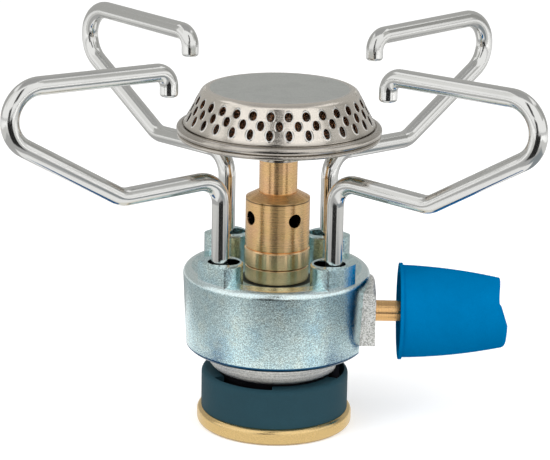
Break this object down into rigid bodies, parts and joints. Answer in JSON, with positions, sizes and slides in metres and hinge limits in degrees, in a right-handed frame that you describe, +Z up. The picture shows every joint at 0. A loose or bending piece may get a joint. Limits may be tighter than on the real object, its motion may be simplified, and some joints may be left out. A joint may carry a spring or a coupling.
{
  "type": "portable gas stove",
  "caption": "Compact camping gas stove: round perforated burner on a brass mixer tube, swivelling bent-rod pan supports, needle valve with a cup knob, twist-lock cartridge collar.",
  "frame": {"origin": "centre of the cartridge socket's mouth, on the bottom face of the gold ring", "axes": "+Z up towards the burner, +X towards the knob, -Y is the front that the picture shows"},
  "size_m": [0.1395, 0.127, 0.1108],
  "materials": {
    "zinc_casting": "satin grey cast zinc",
    "bare_alloy": "bare cast and turned alloy",
    "brass": "turned brass",
    "spindle_brass": "drawn copper-coloured brass",
    "burner_steel": "satin pressed stainless steel",
    "gauze_wire": "brown oxidised wire gauze",
    "chrome_rod": "bright chrome plate",
    "clip_steel": "spring steel",
    "blue_plastic": "satin blue moulding",
    "teal_plastic": "dark slate-teal moulding",
    "gold_anodised": "satin gold anodised",
    "black_rubber": "black rubber",
    "black_peg": "black oxide peg",
    "sintered_bronze": "sintered bronze"
  },
  "bodies": {
    "stove_body": {"support_body": "zinc_casting", "valve_housing": "bare_alloy", "clamp_nut": "brass", "jet_holder": "brass", "gas_jet": "brass", "mixer_sleeve": "brass", "burner_tube": "brass", "burner_pan": "burner_steel", "burner_cap": "burner_steel", "burner_gauze": "gauze_wire", "gland_bush": "brass", "collar_circlip": "clip_steel", "cartridge_seal": "black_rubber", "pusher_pin": "brass", "inlet_filter": "sintered_bronze", "stop_pin": "black_peg"},
    "control": {"spindle": "spindle_brass", "spindle_oring": "black_rubber", "knob": "blue_plastic"},
    "lock_ring": {"lock_collar": "teal_plastic", "bayonet_ring": "gold_anodised"},
    "arm_front_left": {"pan_support_front_left": "chrome_rod", "leg_clip_front_left": "clip_steel"},
    "arm_front_right": {"pan_support_front_right": "chrome_rod", "leg_clip_front_right": "clip_steel"},
    "arm_back_left": {"pan_support_back_left": "chrome_rod", "leg_clip_back_left": "clip_steel"},
    "arm_back_right": {"pan_support_back_right": "chrome_rod", "leg_clip_back_right": "clip_steel"}
  },
  "joints": [
    {"name": "front_left_swivel", "type": "hinge", "parent": "stove_body", "child": "arm_front_left", "pos_m": [-0.0157, -0.0154, 0.043], "axis": [0, 0, 1], "range_deg": [-90, 0]},
    {"name": "front_right_swivel", "type": "hinge", "parent": "stove_body", "child": "arm_front_right", "pos_m": [0.0157, -0.0154, 0.043], "axis": [0, 0, 1], "range_deg": [-90, 0]},
    {"name": "back_left_swivel", "type": "hinge", "parent": "stove_body", "child": "arm_back_left", "pos_m": [-0.0148, 0.0154, 0.043], "axis": [0, 0, 1], "range_deg": [-90, 0]},
    {"name": "back_right_swivel", "type": "hinge", "parent": "stove_body", "child": "arm_back_right", "pos_m": [0.0148, 0.0154, 0.043], "axis": [0, 0, 1], "range_deg": [-90, 0]},
    {"name": "lock_twist", "type": "hinge", "parent": "stove_body", "child": "lock_ring", "pos_m": [0, 0, 0.0105], "axis": [0, 0, 1], "range_deg": [-45, 0]},
    {"name": "knob_turn", "type": "hinge", "parent": "stove_body", "child": "control", "pos_m": [0.0282, 0, 0.0336], "axis": [1, 0, 0], "range_deg": [0, 540]}
  ]
}
